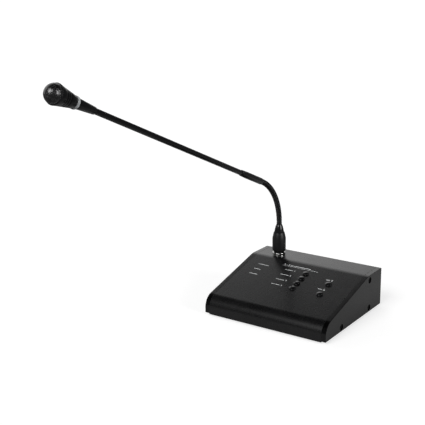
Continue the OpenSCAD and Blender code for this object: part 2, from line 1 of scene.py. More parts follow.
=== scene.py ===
import json
from math import atan2, cos, pi, radians, sin, sqrt, tan
import bmesh
import bpy
from mathutils import Matrix, Vector


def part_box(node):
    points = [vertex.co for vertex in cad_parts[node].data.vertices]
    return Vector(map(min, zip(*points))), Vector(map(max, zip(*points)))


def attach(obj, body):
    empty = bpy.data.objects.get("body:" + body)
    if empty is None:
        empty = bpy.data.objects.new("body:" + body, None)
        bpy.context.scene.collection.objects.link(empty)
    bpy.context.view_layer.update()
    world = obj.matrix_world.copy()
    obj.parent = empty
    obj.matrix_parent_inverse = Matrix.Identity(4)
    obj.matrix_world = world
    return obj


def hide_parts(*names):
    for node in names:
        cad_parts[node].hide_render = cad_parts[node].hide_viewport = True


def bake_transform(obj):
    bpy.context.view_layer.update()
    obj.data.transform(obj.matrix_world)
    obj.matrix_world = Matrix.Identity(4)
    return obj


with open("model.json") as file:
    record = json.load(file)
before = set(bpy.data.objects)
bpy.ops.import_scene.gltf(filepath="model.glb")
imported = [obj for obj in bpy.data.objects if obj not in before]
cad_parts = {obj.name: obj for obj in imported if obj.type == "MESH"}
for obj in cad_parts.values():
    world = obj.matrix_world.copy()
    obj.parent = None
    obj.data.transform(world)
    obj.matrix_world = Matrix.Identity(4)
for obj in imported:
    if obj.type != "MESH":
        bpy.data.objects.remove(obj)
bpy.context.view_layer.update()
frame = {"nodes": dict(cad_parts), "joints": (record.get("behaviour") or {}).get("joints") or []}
scene = bpy.context.scene
joints = {joint["name"]: joint for joint in frame["joints"]}
mm = 0.001

# camera of the photograph, worked out from the housing's edges: metres and degrees, lens and sensor in mm
cameraSet = dict(eye=(0.5858, -1.0190, 0.4766), azimuth=35.400, elevation=15.797, roll=-0.870, lens=75.0,
                 sensor=36, farthest=50)


def makeCamera(use):
    data = bpy.data.cameras.new("camera")
    data.sensor_width = use["sensor"]
    data.lens = use["lens"]
    data.clip_end = use["farthest"]
    camera = bpy.data.objects.new("camera", data)
    turn = Matrix.Rotation(radians(use["azimuth"]), 4, "Z")
    turn = turn @ Matrix.Rotation(radians(90 - use["elevation"]), 4, "X")
    turn = turn @ Matrix.Rotation(radians(use["roll"]), 4, "Z")
    camera.matrix_world = Matrix.Translation(use["eye"]) @ turn
    scene.collection.objects.link(camera)
    scene.camera = camera


makeCamera(cameraSet)
scene.view_settings.view_transform = "Standard"
print("camera placed")


# small tools for materials

def toLinear(hexText):
    parts = [int(hexText[i:i + 2], 16) / 255 for i in (1, 3, 5)]
    return tuple(c / 12.92 if c <= 0.04045 else ((c + 0.055) / 1.055) ** 2.4 for c in parts) + (1,)


def addNode(tree, kind, values=None, links=None, **settings):
    node = tree.nodes.new("ShaderNode" + kind)
    for key, value in settings.items():
        setattr(node, key, value)
    for key, value in (values or {}).items():
        node.inputs[key].default_value = value
    for key, source in (links or {}).items():
        tree.links.new(source, node.inputs[key])
    return node


def startMaterial(name, **sockets):
    material = bpy.data.materials.new(name)
    material.use_nodes = True
    tree = material.node_tree
    shader = tree.nodes["Principled BSDF"]
    for key, value in sockets.items():
        shader.inputs[key].default_value = value
    place = addNode(tree, "TexCoord").outputs["Object"]
    return material, tree, shader, place


def perMm(size):  # texture scale whose cells are this many mm across
    return 1 / (size * mm)


def speckle(tree, place, size, low, high, detail=2.0):  # noise of that size, mapped between two values
    noise = addNode(tree, "TexNoise", {"Scale": perMm(size), "Detail": detail}, {"Vector": place})
    spread = {"From Min": 0.3, "From Max": 0.7, "To Min": low, "To Max": high}  # most of the noise lies there
    return addNode(tree, "MapRange", spread, {"Value": noise.outputs["Fac"]}).outputs["Result"]


def tint(tree, factor, dark, light):  # colour between two hex values
    mix = addNode(tree, "Mix", {}, {"Factor": factor}, data_type="RGBA")
    ends = [socket for socket in mix.inputs if socket.type == "RGBA"]
    ends[0].default_value = toLinear(dark)
    ends[1].default_value = toLinear(light)
    return [socket for socket in mix.outputs if socket.type == "RGBA"][0]


def grain(tree, shader, height, depth, strength):  # bump of that depth in mm
    bump = addNode(tree, "Bump", {"Strength": strength, "Distance": depth * mm}, {"Height": height})
    tree.links.new(bump.outputs["Normal"], shader.inputs["Normal"])


def coated(name, dark, light, patch, rough, grit, depth, strength, shine=0.5, **sockets):
    # paint or plastic: the colour drifts over patches, the roughness over patches a third as wide, and a fine
    # grain of grit lies on top; patch, grit and depth are in mm
    material, tree, shader, place = startMaterial(name, **sockets)
    shader.inputs["Specular IOR Level"].default_value = shine
    tree.links.new(tint(tree, speckle(tree, place, patch, 0, 1), dark, light), shader.inputs["Base Color"])
    tree.links.new(speckle(tree, place, patch / 3, *rough), shader.inputs["Roughness"])
    grain(tree, shader, speckle(tree, place, grit, 0, 1), depth, strength)
    return material


# powder-coated steel: satin, with a fine orange peel that softens what it mirrors
satinPowderCoat = coated("satinPowderCoat", "#0a0a0b", "#0e0e0f", patch=40, rough=(0.25, 0.29), grit=0.5,
                         depth=0.01, strength=0.15, shine=0.32)
# enamelled end plates: the same black, smoother, so that they mirror the table
endPlateEnamel = coated("endPlateEnamel", "#0a0a0b", "#0e0e0f", patch=30, rough=(0.16, 0.22), grit=0.6,
                        depth=0.02, strength=0.15, shine=0.28)
# blackened steel screws: dark oxide with a faint oily shine
blackOxideSteel = coated("blackOxideSteel", "#060607", "#0b0b0c", patch=4, rough=(0.42, 0.55), grit=0.3,
                         depth=0.02, strength=0.3, shine=0.2)
# moulded rubber of the feet, the capsule's holder and the cable's jacket: matt, with a fine tooth
mouldedRubber = coated("mouldedRubber", "#0b0b0c", "#121213", patch=6, rough=(0.45, 0.6), grit=0.35,
                       depth=0.03, strength=0.3, shine=0.3)
# soft PVC of the plug's boot: moulded in a polished tool, so it holds narrow streaks of light
bootPvc = coated("bootPvc", "#0a0a0b", "#0f0f10", patch=6, rough=(0.16, 0.24), grit=0.6,
                 depth=0.01, strength=0.15, shine=0.35)
# polished ABS button caps: deep black gloss with moulding ripples too slight to see singly
glossAbs = coated("glossAbs", "#080809", "#0c0c0d", patch=5, rough=(0.10, 0.16), grit=0.8,
                  depth=0.01, strength=0.1, shine=0.4)
# black lacquer on the plug's turned shell: sprayed, half matt, with no clear highlight
blackLacquer = coated("blackLacquer", "#09090a", "#0e0e0f", patch=8, rough=(0.40, 0.48), grit=0.4,
                      depth=0.015, strength=0.2, shine=0.3)
# black chrome finish of the ribbed neck: satin, so that each rib shows a soft line
neckFinish = coated("neckFinish", "#0b0b0c", "#101011", patch=6, rough=(0.30, 0.38), grit=0.4,
                    depth=0.02, strength=0.25, shine=0.3)
# stoved black paint of the tube, collar and head: smooth, with a soft highlight along the top
stovedPaint = coated("stovedPaint", "#08080a", "#0d0d0e", patch=12, rough=(0.24, 0.32), grit=0.5,
                     depth=0.02, strength=0.2, shine=0.2)
# pressed steel grille, dipped black: glossier than the head, with a ripple that breaks up its highlights
dippedGrille = coated("dippedGrille", "#050506", "#09090a", patch=3, rough=(0.15, 0.21), grit=1.3,
                      depth=0.1, strength=0.9, shine=1.0)
# black felt on the capsule's face, which drinks the light that the grille lets in
capsuleFelt = coated("capsuleFelt", "#050506", "#0a0a0b", patch=2, rough=(0.8, 0.95), grit=0.3,
                     depth=0.05, strength=0.5, shine=0.1)
# smoked acrylic of the unlit indicators: dark red-brown gloss
smokedAcrylic = coated("smokedAcrylic", "#120c0c", "#1a1010", patch=2, rough=(0.08, 0.14), grit=0.5,
                       depth=0.005, strength=0.1)
# moulded black nylon of sockets, headers and switches: half matt from the tool
mouldedNylon = coated("mouldedNylon", "#121213", "#1a1a1b", patch=5, rough=(0.40, 0.52), grit=0.4,
                      depth=0.02, strength=0.25)
# natural nylon plungers: cream, half matt
naturalNylon = coated("naturalNylon", "#cfc8b4", "#ddd6c4", patch=3, rough=(0.35, 0.45), grit=0.4,
                      depth=0.02, strength=0.2)
# grey flat cable: half-matt PVC
flatCable = coated("flatCable", "#8f9294", "#a2a5a6", patch=6, rough=(0.40, 0.50), grit=0.5,
                   depth=0.02, strength=0.2)
# solder mask over glass-fibre board: green gloss over a faint unevenness
solderMask = coated("solderMask", "#14532f", "#1a6338", patch=8, rough=(0.25, 0.35), grit=0.7,
                    depth=0.02, strength=0.3)
# milky polycarbonate light ring, unlit: a dull grey that lets a little light in
ringScatter = {"Subsurface Weight": 0.25, "Subsurface Radius": (1, 1, 1), "Subsurface Scale": 0.002}
milkyRing = coated("milkyRing", "#a6a9ab", "#b2b5b6", patch=3, rough=(0.28, 0.36), grit=0.5,
                   depth=0.01, strength=0.15, shine=0.4, **ringScatter)
# silk-screened white ink of the legend: flat and slightly chalky
screenInk = coated("screenInk", "#c9cbcc", "#d8dadb", patch=2, rough=(0.45, 0.55), grit=0.3,
                   depth=0.005, strength=0.2)


def plated(name, dark, light, rough, marks, patch=4):
    # metal: fine marks of the tool change its roughness and catch the lamps; marks and patch are in mm
    material, tree, shader, place = startMaterial(name, Metallic=1.0)
    tree.links.new(tint(tree, speckle(tree, place, patch, 0, 1), dark, light), shader.inputs["Base Color"])
    tree.links.new(speckle(tree, place, marks, *rough, detail=4.0), shader.inputs["Roughness"])
    return material


# nickel plate of the socket's collar: polished, so that it mirrors the black panel and the lamps
polishedNickel = plated("polishedNickel", "#cbcbc9", "#d8d8d6", rough=(0.06, 0.12), marks=0.6)
# drawn steel of standoffs, spacers and screws: a soft grey shine
drawnSteel = plated("drawnSteel", "#a9aaac", "#bbbcbe", rough=(0.25, 0.38), marks=0.4)
# gold-flashed brass of pins and contacts: warm and bright
flashedBrass = plated("flashedBrass", "#c9a452", "#d9b766", rough=(0.18, 0.28), marks=0.4)
print("materials:", len(bpy.data.materials))


# small tools for meshes, which take sizes in mm and angles in degrees

onePoint = 1e-7  # metres within which vertices count as one
plainShade = 30
roundShade = 40  # turned pieces shade smoothly over edges flatter than this
skinShade = 60
grilleShade = 50


def bevelSharp(bm, width, segments=3, angle=25):
    edges = [e for e in bm.edges if len(e.link_faces) == 2 and e.calc_face_angle(0) > radians(angle)]
    bmesh.ops.bevel(bm, geom=edges, offset=width * mm, offset_type="OFFSET", affect="EDGES",
                    segments=segments, profile=0.5, material=-1, clamp_overlap=True)


def lathe(points, steps=64, bevel=0, segments=3):  # points are radius and height
    bm = bmesh.new()
    verts = [bm.verts.new((r * mm, 0, z * mm)) for r, z in points]
    edges = [bm.edges.new(pair) for pair in zip(verts, verts[1:])]
    bmesh.ops.spin(bm, geom=verts + edges, axis=(0, 0, 1), cent=(0, 0, 0), angle=2 * pi, steps=steps,
                   use_merge=True)
    bmesh.ops.remove_doubles(bm, verts=bm.verts, dist=onePoint)
    bmesh.ops.recalc_face_normals(bm, faces=bm.faces)
    if bevel:
        bevelSharp(bm, bevel, segments)
    return bm


def arc(centre, radius, start, end, steps):  # points of a round stretch
    turns = [radians(start + (end - start) * i / steps) for i in range(steps + 1)]
    return [(centre[0] + radius * cos(t), centre[1] + radius * sin(t)) for t in turns]


def toObject(bm, name, material, place=None, smooth=plainShade):
    if place is not None:
        bmesh.ops.transform(bm, matrix=place, verts=bm.verts)
    mesh = bpy.data.meshes.new(name)
    bm.to_mesh(mesh)
    bm.free()
    mesh.shade_smooth()
    mesh.set_sharp_from_angle(angle=radians(smooth))
    mesh.materials.append(material)
    piece = bpy.data.objects.new(name, mesh)
    scene.collection.objects.link(piece)
    return piece


# puts a piece on its body and hides the nodes that it stands for
def fit(piece, body, slot, *nodes):
    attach(piece, body)
    if nodes:
        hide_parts(*nodes)
    return piece


def evenNormals(piece):  # large flat faces keep their own shading beside small bevels
    modifier = piece.modifiers.new("evenNormals", "WEIGHTED_NORMAL")
    modifier.keep_sharp = True
    return piece


def cutFrom(piece, cutter):  # takes the cutter's solids out of a piece
    tool = toObject(cutter, "cutter", satinPowderCoat)
    modifier = piece.modifiers.new("cut", "BOOLEAN")
    modifier.object = tool
    modifier.solver = "EXACT"
    made = bpy.data.meshes.new_from_object(piece.evaluated_get(bpy.context.evaluated_depsgraph_get()))
    piece.modifiers.clear()
    old = piece.data
    made.name = old.name
    piece.data = made
    bpy.data.meshes.remove(old)
    bpy.data.objects.remove(tool)
    made.shade_smooth()
    made.set_sharp_from_angle(angle=radians(plainShade))


def addCylinder(bm, radius, low, high, place, steps=48):
    made = bmesh.ops.create_cone(bm, cap_ends=True, segments=steps, radius1=radius * mm, radius2=radius * mm,
                                 depth=(high - low) * mm)
    lift = Matrix.Translation((0, 0, (low + high) / 2 * mm))
    bmesh.ops.transform(bm, matrix=place @ lift, verts=made["verts"])


def addBlock(bm, width, length, thick, place):  # a block about its own middle
    made = bmesh.ops.create_cube(bm, size=1)
    shape = Matrix.Diagonal((width * mm, length * mm, thick * mm, 1))
    bmesh.ops.transform(bm, matrix=place @ shape, verts=made["verts"])


# housing: one side profile for the cover and both end plates; cuts run from below the wall to over its face
housing = dict(width=190, nose=20.9, flat=41, lipRadius=18, lipSteps=28, bendRadius=30, bendSteps=10, wall=2,
               end=7, drop=0.8, coverEdge=0.15, plateEdge=0.35, sharp=60, cutLow=-4, cutHigh=2)
coverLow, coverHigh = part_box("cover")
edgeZ = coverLow.z / mm
topZ = coverHigh.z / mm
frontY = coverLow.y / mm
rearY = coverHigh.y / mm
bendY = rearY - housing["flat"]
slopeTurn = atan2(joints["button_1_press"]["axis"][1], -joints["button_1_press"]["axis"][2])
slopeDir = 90 + slopeTurn * 180 / pi


def onSlope(x, down, out=0):  # place on the sloping panel, in mm from the bend
    lift = Matrix.Translation((x * mm, bendY * mm, topZ * mm))
    return lift @ Matrix.Rotation(slopeTurn, 4, "X") @ Matrix.Translation((0, -down * mm, out * mm))


def outline(inset, drop=0):  # from the front's foot round the lip and bend to the rear edge
    h = housing
    lipZ = edgeZ + h["nose"] - h["lipRadius"] * tan((pi / 2 - slopeTurn) / 2)
    lip = (frontY + h["lipRadius"], lipZ)
    bend = (bendY + h["bendRadius"] * tan(slopeTurn / 2), topZ - h["bendRadius"])
    points = [(frontY + inset, edgeZ - drop)]
    points += arc(lip, h["lipRadius"] - inset, 180, slopeDir, h["lipSteps"])
    points += arc(bend, h["bendRadius"] - inset, slopeDir, 90, h["bendSteps"])
    return points + [(rearY, topZ - inset)]


def profileSolid(points, x0, x1):  # closed outline in depth and height, run across from x0 to x1
    bm = bmesh.new()
    face = bm.faces.new([bm.verts.new((x0 * mm, y * mm, z * mm)) for y, z in points])
    made = bmesh.ops.extrude_face_region(bm, geom=[face])
    verts = [v for v in made["geom"] if isinstance(v, bmesh.types.BMVert)]
    bmesh.ops.translate(bm, vec=((x1 - x0) * mm, 0, 0), verts=verts)
    bmesh.ops.recalc_face_normals(bm, faces=bm.faces)
    return bm


# panel: a column of four buttons, a column of two beside its second and fourth rows, and three indicators
panel = dict(rows=4, firstRow=25.2, rowPitch=12.8, fourX=9.5, pairX=52, pairRows=(1, 3), cap=9, capGap=0.2,
             lamps=3, lampX=-76, lamp=2.5, lampGap=0.1)
rows = [panel["firstRow"] + i * panel["rowPitch"] for i in range(panel["rows"])]
buttonPlaces = [(panel["fourX"], down) for down in rows]
buttonPlaces += [(panel["pairX"], rows[i]) for i in panel["pairRows"]]
socketSet = dict(x=-60.7, fromRear=21.5, hole=8.6)
socketPlace = Matrix.Translation((socketSet["x"] * mm, (rearY - socketSet["fromRear"]) * mm, topZ * mm))


def makeCover():
    inside = housing["width"] / 2 - housing["end"]
    low, high = housing["cutLow"], housing["cutHigh"]
    bm = profileSolid(outline(0) + outline(housing["wall"])[::-1], -inside, inside)
    bevelSharp(bm, housing["coverEdge"], segments=2, angle=housing["sharp"])
    cover = toObject(bm, "foldedCover", satinPowderCoat)
    holes = bmesh.new()
    for x, down in buttonPlaces:
        addCylinder(holes, panel["cap"] / 2 + panel["capGap"], low, high, onSlope(x, down))
    for down in rows[:panel["lamps"]]:
        place = onSlope(panel["lampX"], down)
        addCylinder(holes, panel["lamp"] / 2 + panel["lampGap"], low, high, place, steps=24)
    addCylinder(holes, socketSet["hole"], low, high, socketPlace)
    cutFrom(cover, holes)
    fit(evenNormals(cover), "base", "satin_black", "cover")


endScrews = dict(rear=37.3, front=44.1, low=5, high=7.2, head=8.6, gap=0.2, sunk=4.0)
screwPlaces = [(rearY - endScrews["rear"], topZ - endScrews["high"]),
               (rearY - endScrews["rear"], edgeZ + endScrews["low"]),
               (frontY + endScrews["front"], edgeZ + endScrews["low"])]


def makeEndPlate(side, name, node):
    inner = housing["width"] / 2 - housing["end"]
    outer = housing["width"] / 2
    low = housing["drop"]  # the plates reach a little lower than the cover
    bm = profileSolid(outline(0, low) + [(rearY, edgeZ - low)], side * inner, side * outer)
    bevelSharp(bm, housing["plateEdge"], segments=3, angle=housing["sharp"])
    plate = toObject(bm, name, endPlateEnamel)
    holes = bmesh.new()
    bore = endScrews["head"] / 2 + endScrews["gap"]
    turn = Matrix.Rotation(side * pi / 2, 4, "Y")
    for y, z in screwPlaces:
        place = Matrix.Translation((side * outer * mm, y * mm, z * mm))
        addCylinder(holes, bore, -endScrews["sunk"], housing["cutHigh"], place @ turn)
    cutFrom(plate, holes)
    fit(evenNormals(plate), "base", "plate_black", node)


makeCover()
makeEndPlate(1, "endPlateRight", "end_plate_right")
makeEndPlate(-1, "endPlateLeft", "end_plate_left")
print("housing made")

# button caps: domed top, rounded shoulder, flange that stops under the cover; heights over the panel
capSet = dict(height=2.5, dome=0.9, domeSteps=10, edge=0.35, flange=5.6, flangeTop=-2.1, flangeLow=-3.1,
              post=2.5, postLow=-5.0)


def makeButtons():
    c = capSet
    radius = panel["cap"] / 2
    ball = (radius ** 2 + c["dome"] ** 2) / (2 * c["dome"])
    reach = [radius * i / c["domeSteps"] for i in range(c["domeSteps"])]
    dome = [(r, c["height"] - ball + sqrt(ball ** 2 - r ** 2)) for r in reach]
    side = [(radius, c["height"] - c["dome"]), (radius, c["flangeTop"])]
    flange = [(c["flange"], c["flangeTop"]), (c["flange"], c["flangeLow"])]
    post = [(c["post"], c["flangeLow"]), (c["post"], c["postLow"]), (0, c["postLow"])]
    for i, (x, down) in enumerate(buttonPlaces, 1):
        bm = lathe(dome + side + flange + post, steps=48, bevel=c["edge"], segments=4)
        cap = toObject(bm, f"buttonCap{i}", glossAbs, onSlope(x, down), roundShade)
        fit(cap, f"button_{i}_body", "gloss_black", f"button_{i}")


makeButtons()
print("buttons made")

# legend: plain numbers and rules in white ink, a hair over the paint; a rule is its two ends across the panel
legend = dict(lift=0.02, thick=0.02, digit=4.2, bold=0.1, rule=1.0)
fourMarks = dict(rule=(-24.9, -11.9), digitX=-9.9, above=1.2)
heading = dict(words="1 - 4", size=1.15, x=-32.5, down=12.2, bar=(-22, 10.5), barWidth=1.1,
               line=(-33.5, 23.5), lineDown=15, lineWidth=0.5)
lampMarks = dict(x=-69.6, lengths=(17.5, 10.5, 13), above=1.5)
pairMarks = dict(rule=(43.5, 49.5), digitX=51.5, size=1.1, above=(9.8, 11.8))


def addRule(bm, ends, down, width):
    x0, x1 = ends
    addBlock(bm, x1 - x0, width, legend["thick"], onSlope((x0 + x1) / 2, down, legend["lift"]))


def addText(bm, words, size, x, down):
    curve = bpy.data.curves.new("digits", "FONT")
    curve.body = words
    curve.size = size * mm
    curve.align_x = "LEFT"
    curve.align_y = "CENTER"
    curve.extrude = legend["thick"] * mm / 2
    curve.offset = legend["bold"] * mm
    holder = bpy.data.objects.new("digits", curve)
    scene.collection.objects.link(holder)
    mesh = bpy.data.meshes.new_from_object(holder.evaluated_get(bpy.context.evaluated_depsgraph_get()))
    mesh.transform(onSlope(x, down, legend["lift"]))
    bm.from_mesh(mesh)
    bpy.data.objects.remove(holder)
    bpy.data.curves.remove(curve)
    bpy.data.meshes.remove(mesh)


def makeLegend():
    bm = bmesh.new()
    for i, down in enumerate(rows, 1):
        addRule(bm, fourMarks["rule"], down - fourMarks["above"], legend["rule"])
        addText(bm, str(i), legend["digit"], fourMarks["digitX"], down - fourMarks["above"])
    addRule(bm, heading["line"], heading["lineDown"], heading["lineWidth"])
    addText(bm, heading["words"], legend["digit"] * heading["size"], heading["x"], heading["down"])
    addRule(bm, heading["bar"], heading["down"], heading["barWidth"])
    for length, down in zip(lampMarks["lengths"], rows):
        ends = (lampMarks["x"], lampMarks["x"] + length)
        addRule(bm, ends, down - lampMarks["above"], legend["rule"])
    for i, row, above in zip((5, 6), panel["pairRows"], pairMarks["above"]):
        addRule(bm, pairMarks["rule"], rows[row] - above, legend["rule"])
        addText(bm, str(i), legend["digit"] * pairMarks["size"], pairMarks["digitX"], rows[row] - above)
    ink = toObject(bm, "panelLegend", screenInk)
    fit(ink, "base", "satin_black")


makeLegend()
print("legend made")

# socket collar on the panel, and the plug in it: heights over the flat top
collarSet = dict(radius=9.4, height=2.3, bore=7.7, barrel=8.5, depth=14, edge=0.6)
plugSet = dict(radius=10, nose=7.5, noseBore=6.55, noseLow=-13.8, shoulder=2.4, chamferFoot=7.9,
               chamferTop=6.4, straight=24, brow=27.5, browRadius=9.3, top=33, topRadius=8.0, spigot=6.55,
               thread=5, inside=8.4, insert=7, boot=7.4, bootGap=0.05, bootNose=41.4, bootNoseRadius=5.6,
               bootTop=45, neckFit=4.25, neckBore=3.65, edge=0.3)
plugSteps = 96


def makeSocket():
    c = collarSet
    points = [(c["bore"], c["height"]), (c["radius"], c["height"]), (c["radius"], 0), (c["barrel"], 0),
              (c["barrel"], -c["depth"]), (c["bore"], -c["depth"]), (c["bore"], c["height"])]
    bm = lathe(points, plugSteps, c["edge"], segments=5)
    collar = toObject(bm, "socketCollar", polishedNickel, socketPlace, roundShade)
    fit(collar, "base", "nickel", "socket_shell")


def makePlug():
    p = plugSet
    shell = [(p["noseBore"], p["noseLow"]), (p["nose"], p["noseLow"]), (p["nose"], p["shoulder"]),
             (p["chamferFoot"], p["shoulder"]), (p["radius"], p["chamferTop"]), (p["radius"], p["straight"]),
             (p["browRadius"], p["brow"]), (p["topRadius"], p["top"]), (p["spigot"], p["top"]),
             (p["spigot"], p["top"] - p["thread"]), (p["inside"], p["straight"]), (p["inside"], p["insert"]),
             (p["noseBore"], p["insert"]), (p["noseBore"], p["noseLow"])]
    bm = lathe(shell, plugSteps, p["edge"], segments=3)
    fit(toObject(bm, "plugShell", blackLacquer, socketPlace, roundShade), "plug", "plug_black", "plug_shell")
    low = p["top"] - p["thread"]
    spigot = p["spigot"] - p["bootGap"]
    boot = [(p["neckBore"], low), (spigot, low), (spigot, p["top"]), (p["boot"], p["top"]),
            (p["bootNoseRadius"], p["bootNose"]), (p["neckFit"], p["bootTop"]), (p["neckBore"], p["bootTop"]),
            (p["neckBore"], low)]
    bm = lathe(boot, plugSteps, p["edge"], segments=3)
    fit(toObject(bm, "plugBoot", bootPvc, socketPlace, roundShade), "plug", "rubber_black", "boot")


makeSocket()
makePlug()
print("socket and plug made")

# flexible neck: half-round ribs on a skin that bends across each joint, middle of link to middle of link
neckSet = dict(links=8, length=11.35, ribs=5, crest=4.15, root=3.55, firstRib=0.635, ribSteps=6, plain=3.6,
               foot=2.3, top=4.7, hidden=6)
jointNames = ["neck_side_low"] + [f"neck_bend_{i}" for i in range(1, 7)] + ["neck_side_high"]
jointPlaces = [Vector(joints[name]["pos_m"]) for name in jointNames]
legs = [(b - a).normalized() for a, b in zip(jointPlaces, jointPlaces[1:])]
tilts = [0] + [atan2(-leg.y, leg.z) for leg in legs]
tilts.append(2 * tilts[-1] - tilts[-2])
legs = [Vector((0, -sin(tilt), cos(tilt))) for tilt in tilts]
halfLink = neckSet["length"] / 2 * mm


def bendSkin(bm, k):  # lays a straight piece along the neck's curve at joint k
    start = jointPlaces[k] - halfLink * legs[k]
    turn = tilts[k + 1] - tilts[k]
    radius = halfLink / tan(turn / 2)
    for vert in bm.verts:
        bent = min(max(vert.co.z, 0), 2 * halfLink)  # the ends beyond the arc stay straight
        tilt = tilts[k] + turn * bent / (2 * halfLink)
        run = Vector((0, radius * (cos(tilt) - cos(tilts[k])), radius * (sin(tilt) - sin(tilts[k]))))
        run += Vector((0, -sin(tilt), cos(tilt))) * (vert.co.z - bent)
        vert.co = start + run + Vector((vert.co.x, cos(tilt) * vert.co.y, sin(tilt) * vert.co.y))


def ribbedProfile(k):  # the first piece has a plain foot in the boot, and the last a plain end in the sleeve
    n = neckSet
    pitch = n["length"] / n["ribs"]
    bulge = n["crest"] - n["root"]
    end = n["length"]
    first, last = k == 0, k == n["links"] - 1
    points = [(n["plain"], -n["foot"] - n["hidden"]), (n["plain"], -n["foot"])] if first else [(n["root"], 0)]
    for i in range(-1 if first else 0, n["ribs"] + (2 if last else 0)):
        points += arc((n["root"], n["firstRib"] + i * pitch), bulge, -90, 90, n["ribSteps"])
    if last:
        return points + [(n["plain"], end + n["top"]), (n["plain"], end + n["top"] + n["hidden"])]
    return points + [(n["root"], end)]


def makeNeck():
    stands = [("neck_foot", "neck_link_1")] + [(f"neck_link_{k}",) for k in range(2, 8)] + [("neck_top",)]
    for k in range(neckSet["links"]):
        bm = lathe(ribbedProfile(k), steps=40)
        bendSkin(bm, k)
        skin = toObject(bm, f"neckSkin{k + 1}", neckFinish, None, skinShade)
        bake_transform(skin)
        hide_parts(*stands[k])


makeNeck()
print("neck made")

# sleeve, tube and head, turned about the neck's last stretch: distances from its last joint
micPlace = Matrix.Translation(jointPlaces[-1]) @ Matrix.Rotation(tilts[-1], 4, "X")
micSet = dict(sleeve=10.375, sleeveEnd=65.375, sleeveRadius=4.7, sleeveFront=4.3, sleeveTaper=16,
              sleeveEdge=0.4, tubeRadius=3.6, tubeWall=0.8, tubeIn=30, tubeEdge=0.25, cone=375.775,
              coneRadius=4.45, coneFront=6.4, coneBore=4, coneGrip=20, coneEdge=0.35, light=405.875,
              lightRadius=7.6, lightBore=4.6, lightEdge=0.8, head=409.575, rim=436.875)
# the head's own heights are measured back from the rim, and its floor from its rear end
headSet = dict(rear=7.25, mid=11.0, midBack=5.1, shoulder=11.85, edge=1, grooves=3, grooveBack=8.4,
               groovePitch=3.6, grooveWidth=1.0, grooveDepth=0.5, holder=9.4, holderBack=5, ledge=8.3,
               bore=5.2, floor=3, corner=0.15, rimRadius=12.15, rimBore=11.55, rimWidth=1.4, rimEdge=0.25)


def turnedPiece(name, points, material, slot, nodes, edge, segments=3):
    bm = lathe(points, steps=72, bevel=edge, segments=segments)
    piece = toObject(bm, name, material, micPlace, roundShade)
    return fit(piece, "mic", slot, *nodes)


def turnedRing(inner, outer, low, high):  # section of a plain ring
    return [(inner, low), (outer, low), (outer, high), (inner, high), (inner, low)]


def makeTube():
    m = micSet
    bore = m["tubeRadius"] - m["tubeWall"]
    sleeve = [(m["tubeRadius"], m["sleeve"]), (m["sleeveRadius"], m["sleeve"]),
              (m["sleeveRadius"], m["sleeveEnd"] - m["sleeveTaper"]), (m["sleeveFront"], m["sleeveEnd"]),
              (m["tubeRadius"], m["sleeveEnd"]), (m["tubeRadius"], m["sleeve"])]
    turnedPiece("neckSleeve", sleeve, neckFinish, "neck_black", ["sleeve"], m["sleeveEdge"])
    low, high = m["sleeve"] + m["tubeIn"], m["cone"] + m["coneGrip"]
    tube = turnedRing(bore, m["tubeRadius"], low, high)
    turnedPiece("neckTube", tube, stovedPaint, "satin_black", ["tube"], m["tubeEdge"])
    cone = [(m["tubeRadius"], m["cone"]), (m["coneRadius"], m["cone"]), (m["coneFront"], m["light"]),
            (m["coneBore"], m["light"]), (m["coneBore"], high), (m["tubeRadius"], high),
            (m["tubeRadius"], m["cone"])]
    turnedPiece("neckCone", cone, stovedPaint, "satin_black", ["neck_cone"], m["coneEdge"])
    ring = turnedRing(m["lightBore"], m["lightRadius"], m["light"], m["head"])
    turnedPiece("lightRing", ring, milkyRing, "light_milky", ["light_ring"], m["lightEdge"], segments=5)


def grooveSection(midZ):  # the grooves' corners along the head's flare, from the rear
    h, rearZ, points = headSet, micSet["head"], []
    for i in reversed(range(h["grooves"])):
        z = micSet["rim"] - h["grooveBack"] - i * h["groovePitch"]
        edges = [z - h["grooveWidth"] / 2, z + h["grooveWidth"] / 2]
        radii = [h["rear"] + (h["mid"] - h["rear"]) * (e - rearZ) / (midZ - rearZ) for e in edges]
        points += [(radii[0], edges[0]), (radii[0] - h["grooveDepth"], edges[0]),
                   (radii[1] - h["grooveDepth"], edges[1]), (radii[1], edges[1])]
    return points


def makeHead():
    m, h = micSet, headSet
    rim = m["rim"]
    midZ = rim - h["midBack"]
    floorZ = m["head"] + h["floor"]
    body = [(m["lightBore"], m["head"]), (h["rear"], m["head"])] + grooveSection(midZ)
    body += [(h["mid"], midZ), (h["shoulder"], rim - h["edge"]), (h["shoulder"], rim), (h["holder"], rim),
             (h["holder"], rim - h["holderBack"]), (h["ledge"], rim - h["holderBack"]), (h["bore"], floorZ),
             (m["lightBore"], floorZ), (m["lightBore"], m["head"])]
    turnedPiece("headBody", body, stovedPaint, "satin_black", ["head_body"], h["corner"], segments=2)
    bead = turnedRing(h["rimBore"], h["rimRadius"], rim, rim + h["rimWidth"])
    turnedPiece("headRim", bead, stovedPaint, "rim_black", ["rim_ring"], h["rimEdge"], segments=4)


makeTube()
makeHead()

# grille: an even pattern of round holes pressed through a dome, with lips rolled over the holes' edges
grilleSet = dict(radius=11.5, wall=0.6, centre=437.975, skirt=1.1, divisions=3, cuts=1, hole=0.46,
                 rolled=0.12, plainBelow=0.8, foot=0.01, lipAngle=50)


